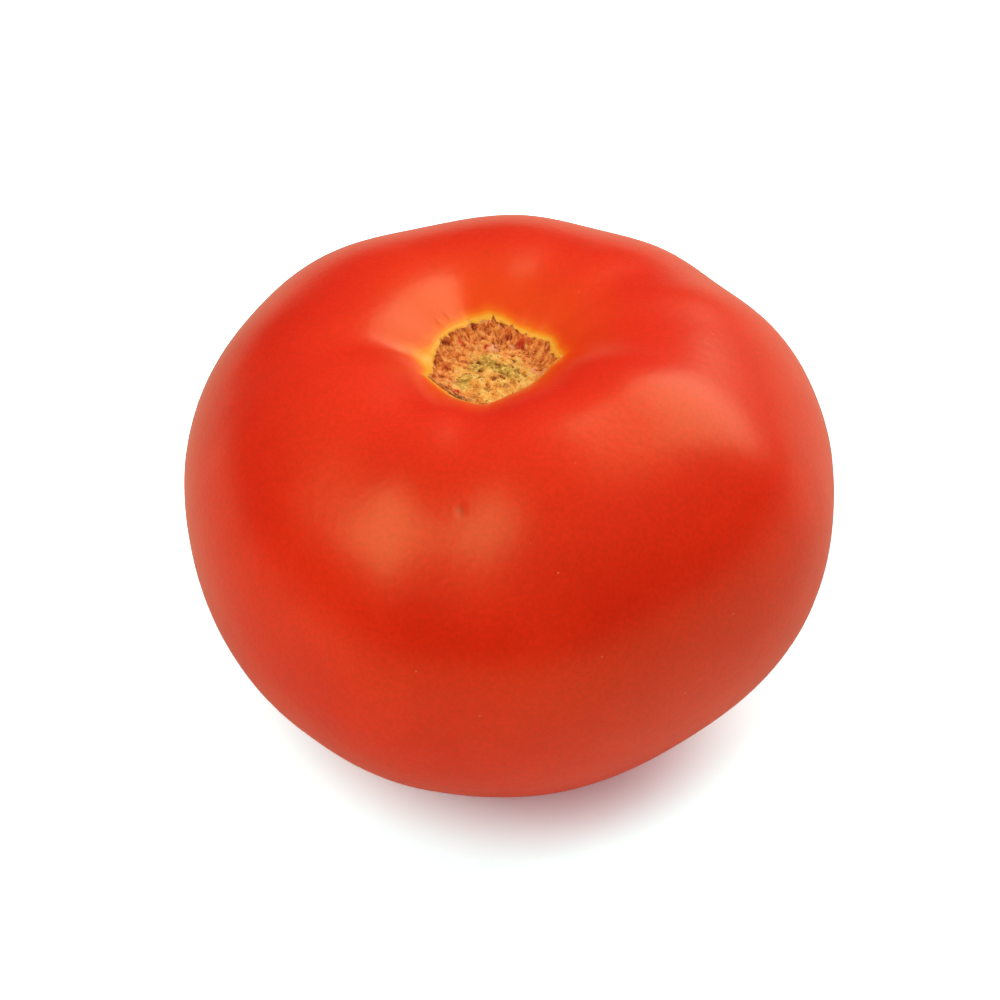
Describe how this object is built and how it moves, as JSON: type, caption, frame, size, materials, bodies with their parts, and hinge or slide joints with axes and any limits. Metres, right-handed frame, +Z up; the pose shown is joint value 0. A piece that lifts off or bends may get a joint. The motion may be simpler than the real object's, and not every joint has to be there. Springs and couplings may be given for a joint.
{
  "type": "tomato",
  "caption": "Whole ripe slicing tomato: a squat, softly ribbed fruit with a corky stalk scar sunk in its crown, lying on a small flat spot.",
  "frame": {"origin": "on the surface the tomato rests on, under the middle of its outline", "axes": "+Z up along the fruit's core, from the blossom end to the stalk scar; -Y towards the side the picture shows; +X to that view's right"},
  "size_m": [0.0822, 0.082, 0.0587],
  "materials": {
    "tomato_skin": "satin"
  },
  "bodies": {
    "root": {"tomato": "tomato_skin"}
  },
  "joints": []
}
